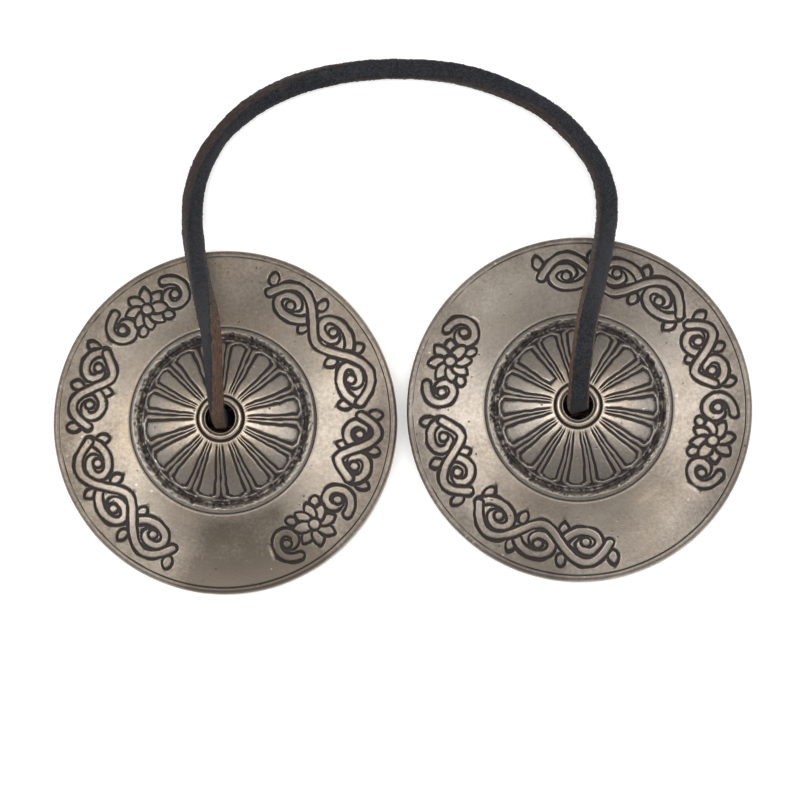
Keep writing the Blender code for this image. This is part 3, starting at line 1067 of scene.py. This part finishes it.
def make_bronze(name, light, warm, dark, centre):
    """Antiqued cast bronze: satin metal, black patina in the cuts, pits, a fine cast skin, and painted shade and
    painted highlights.
    """
    material, tree, shader = new_material(name)
    place = add_node(tree, "TexCoord").outputs["Object"]
    patina_and_highlight = attribute(tree, "patina_and_highlight")
    # The mesh's tone: random clouds, painted shade and painted light.
    clouds_and_painted_shade = attribute(tree, "tone_and_painted_light")
    skin = speckle(tree, place, SKIN_SCALE, 6.0, 0.75)
    grit = speckle(tree, place, GRIT_SCALE, 2.0)
    pitted = ranged(tree, speckle(tree, place, PITTED_SCALE, 3.0), 0.50, 0.58)
    pit = spots(tree, place, PIT_SCALE, 0.16, pitted)
    flecked = ranged(tree, speckle(tree, place, FLECKED_SCALE, 2.0), 0.52, 0.60)
    fleck = spots(tree, place, FLECK_SCALE, 0.14, flecked)

    # Below zero the patina value is a lighter polish, partly a painted highlight.
    polish_and_highlight = times(tree, maths(tree, "MINIMUM", patina_and_highlight, 0.0), -1.1)
    tone_and_painted_light = plus(tree, clouds_and_painted_shade, ranged(tree, skin, 0.3, 0.7, -0.24, 0.24))
    tone_and_painted_light = plus(tree, tone_and_painted_light, plus(tree, polish_and_highlight, times(tree, fleck, 1.3)))
    warmth = ranged(tree, speckle(tree, place, WARMTH_SCALE, 2.0), 0.46, 0.66)
    # The lighter places also take the warm colour of a painted highlight.
    warmth = maths(tree, "MAXIMUM", warmth, times(tree, polish_and_highlight, 1.5))
    grey = ranged(tree, patina_and_highlight, 0.01, 0.07)
    bright = mixed(tree, grey, mixed(tree, warmth, light, warm), GREY_METAL)
    metal = mixed(tree, ranged(tree, tone_and_painted_light, 0.0, 1.6), dark, bright)
    soot = plus(tree, patina_and_highlight, ranged(tree, skin, 0.35, 0.65, -0.14, 0.14))
    soot = ranged(tree, soot, 0.15, 0.66)
    soot = maths(tree, "MAXIMUM", soot, times(tree, pit, 0.85))
    colour = mixed(tree, soot, metal, PATINA_COLOUR)
    metallic = ranged(tree, soot, 0.0, 1.0, 1.0, 0.55)
    rough = ranged(tree, clouds_and_painted_shade, 0.2, 0.8, 0.42, 0.34)
    rough = plus(tree, rough, ranged(tree, skin, 0.3, 0.7, 0.06, -0.04))
    rough = plus(tree, rough, times(tree, soot, 0.22))
    feed_all(tree, shader, Base_Color=colour, Metallic=metallic, Roughness=rough)

    moved = {"vector_type": "TEXTURE"}
    from_centre = add_node(tree, "Mapping", moved, Vector=place, Location=centre)
    rings = {"wave_type": "RINGS", "rings_direction": "Z"}
    lathe = add_node(tree, "TexWave", rings, Vector=from_centre.outputs[0], **LATHE_MARKS)
    marks = times(tree, lathe.outputs["Fac"], attribute(tree, "turned"))
    relief = plus(tree, times(tree, skin, 0.75), times(tree, grit, 0.4))
    relief = maths(tree, "SUBTRACT", relief, times(tree, pit, 1.5))
    relief = plus(tree, relief, times(tree, marks, 0.35))
    raise_bumps(tree, shader, relief, 0.7, BRONZE_BUMP)
    return material


def make_leather(name):
    """Dyed leather lace: blue-black faces, and fibrous cut sides that are brown near the knots."""
    material, tree, shader = new_material(name)
    place = attribute(tree, "strip", "Vector")
    stretch = add_node(tree, "VectorMath", {"operation": "MULTIPLY"})
    feed(tree, stretch.inputs[0], place)
    feed(tree, stretch.inputs[1], FIBRE_STRETCH)
    fibres = speckle(tree, stretch.outputs["Vector"], FIBRES_PER_MM, 5.0, 0.7)
    grain = speckle(tree, place, GRAINS_PER_MM, 5.0, 0.65)
    wear = speckle(tree, place, WEAR_PER_MM)

    face = mixed(tree, ranged(tree, grain, 0.38, 0.68), *FACE_SHADES)
    face = mixed(tree, ranged(tree, wear, 0.56, 0.76, 0.0, 0.55), face, WORN_FACE)
    fibre_light = ranged(tree, fibres, 0.3, 0.7)
    raw_side = mixed(tree, fibre_light, *RAW_SHADES)
    dyed_side = mixed(tree, fibre_light, *DYED_SHADES)
    along = add_node(tree, "SeparateXYZ", Vector=place).outputs["Z"]
    from_middle = maths(tree, "ABSOLUTE", maths(tree, "SUBTRACT", along, HALF_LACE_LENGTH / MM))
    side = mixed(tree, ranged(tree, from_middle, *RAW_SIDES_FROM), dyed_side, raw_side)
    edge = plus(tree, attribute(tree, "raw"), ranged(tree, fibres, 0.3, 0.7, -0.42, 0.42))
    colour = mixed(tree, ranged(tree, edge, 0.30, 0.62), face, side)
    rough = ranged(tree, grain, 0.3, 0.7, 0.48, 0.68)
    feed_all(tree, shader, Base_Color=colour, Roughness=rough, Specular_IOR_Level=0.16)
    relief = plus(tree, times(tree, grain, 0.7), times(tree, fibres, 0.6))
    raise_bumps(tree, shader, relief, 0.8, LEATHER_BUMP)
    return material


def make_paper(name):
    """The pale matt floor, lit a little from below like a light table, so its shadows stay faint."""
    material, tree, shader = new_material(name)
    place = add_node(tree, "TexCoord").outputs["Object"]
    tint = mixed(tree, speckle(tree, place, 60.0), *PAPER_SHADES)
    feed_all(tree, shader, Base_Color=tint, Roughness=0.9, Specular_IOR_Level=0.1)
    feed_all(tree, shader, Emission_Color=(1.0, 1.0, 1.0, 1.0), Emission_Strength=PAPER_GLOW)
    return material


# --- the setting ---


def add_camera():
    """A long lens almost straight above the pair."""
    camera = new_object("camera", bpy.data.cameras.new("camera"))
    camera.data.lens = CAMERA_LENS
    camera.data.clip_end = 100.0
    backward = CAMERA_OFFSET.normalized()
    rightward = Vector((0.0, 1.0, 0.0)).cross(backward).normalized()
    upward = backward.cross(rightward)
    facing = Matrix((rightward, upward, backward)).transposed()
    camera.rotation_euler = (facing @ Matrix.Rotation(CAMERA_ROLL, 3, "Z")).to_euler()
    camera.location = CAMERA_TARGET + CAMERA_OFFSET
    bpy.context.scene.camera = camera


def add_softbox(side, place, power):
    """A soft rectangular light that faces the object."""
    light = new_object(f"{side}_softbox", bpy.data.lights.new(f"{side}_softbox", "AREA"))
    light.data.shape = "RECTANGLE"
    light.data.size, light.data.size_y = SOFTBOX_SIZE
    light.data.energy = power
    light.location = place
    light.rotation_euler = (CAMERA_TARGET - Vector(place)).to_track_quat("-Z", "Y").to_euler()


def add_world():
    """A pale studio all round, brighter overhead, with a bright band where it meets the floor."""
    world = bpy.data.worlds.new("studio")
    bpy.context.scene.world = world
    world.use_nodes = True
    tree = world.node_tree
    place = add_node(tree, "TexCoord").outputs["Generated"]
    parts = add_node(tree, "SeparateXYZ", Vector=place).outputs
    height = parts["Z"]
    sky = mixed(tree, height, SKY_LOW, SKY_OVERHEAD)
    sky = mixed(tree, ranged(tree, parts["Y"], -0.15, -0.60, 0.0, 0.35), sky, SKY_NEAR_SIDE)
    sky = mixed(tree, ranged(tree, height, 0.02, 0.10, 1.0, 0.0), sky, SKY_AT_FLOOR)
    feed_all(tree, tree.nodes["Background"], Color=sky)


def add_floor():
    """A wide pale floor under the object."""
    mesh = bpy.data.meshes.new("floor")
    corners = [(x * FLOOR_HALF, y * FLOOR_HALF, 0) for x, y in ((-1, -1), (1, -1), (1, 1), (-1, 1))]
    mesh.from_pydata(corners, [], [(0, 1, 2, 3)])
    mesh.materials.append(make_paper("floor_paper"))
    floor = new_object("floor", mesh)
    floor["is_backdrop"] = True


def main():
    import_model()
    cad_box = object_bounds()
    add_camera()

    leather = make_leather("dyed_leather")
    middle = ARCH_MIDDLE * SPAN_POINTS
    left_line = half_line(slice(0, middle + 1), LEFT_ROLL)
    right_line = half_line(slice(None, middle - 1, -1), RIGHT_ROLL)
    far_end = distances(left_line[0])[-1] + distances(right_line[0])[-1]
    halves = (
        ("left", left_line, LEFT_FOLD, LEFT_CENTRE, LEFT_TAIL, 0.0, 1),
        ("right", right_line, RIGHT_FOLD, RIGHT_CENTRE, RIGHT_TAIL, far_end, -1),
    )
    for side, (path, normals), fold, centre, tail_direction, origin, sense in halves:
        sizes = [(STRIP_WIDTH, STRIP_THICKNESS)] * len(path)
        lace = make_strip(f"{side}_lace_strip", path, normals, sizes, leather, origin, sense)
        knot_origin = origin - sense * KNOT_LEATHER
        knot = make_knot(f"{side}_overhand_knot", centre, tail_direction, leather, knot_origin)
        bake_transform(lace)
        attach(knot, f"{side}_hanger")
        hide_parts("lace_arch", f"{side}_lace_neck")
        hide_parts(f"{side}_lace_knot", f"{side}_lace_tail")

    discs = (
        ("left", LEFT_CENTRE, 0.0, LEFT_SEED, None, LEFT_PAINTED_SHADING, LEFT_METAL),
        ("right", RIGHT_CENTRE, RIGHT_TURN, RIGHT_SEED, JOINED_PETAL, RIGHT_PAINTED_SHADING, RIGHT_METAL),
    )
    for side, centre, turn, seed, joined_petal, painted_shading, metal in discs:
        bronze = make_bronze(f"{side}_antiqued_bronze", *metal, centre)
        disc = make_disc(f"{side}_cymbal_cast", centre, turn, seed, joined_petal, painted_shading, bronze)
        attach(disc, f"{side}_disc")
        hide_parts(f"{side}_cymbal")

    add_floor()
    add_world()
    for softbox in SOFTBOXES:
        add_softbox(*softbox)
    bpy.context.scene.view_settings.view_transform = "Standard"

    sizes = {"cad": [list(corner) for corner in cad_box], "visual": [list(corner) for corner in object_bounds()]}


main()
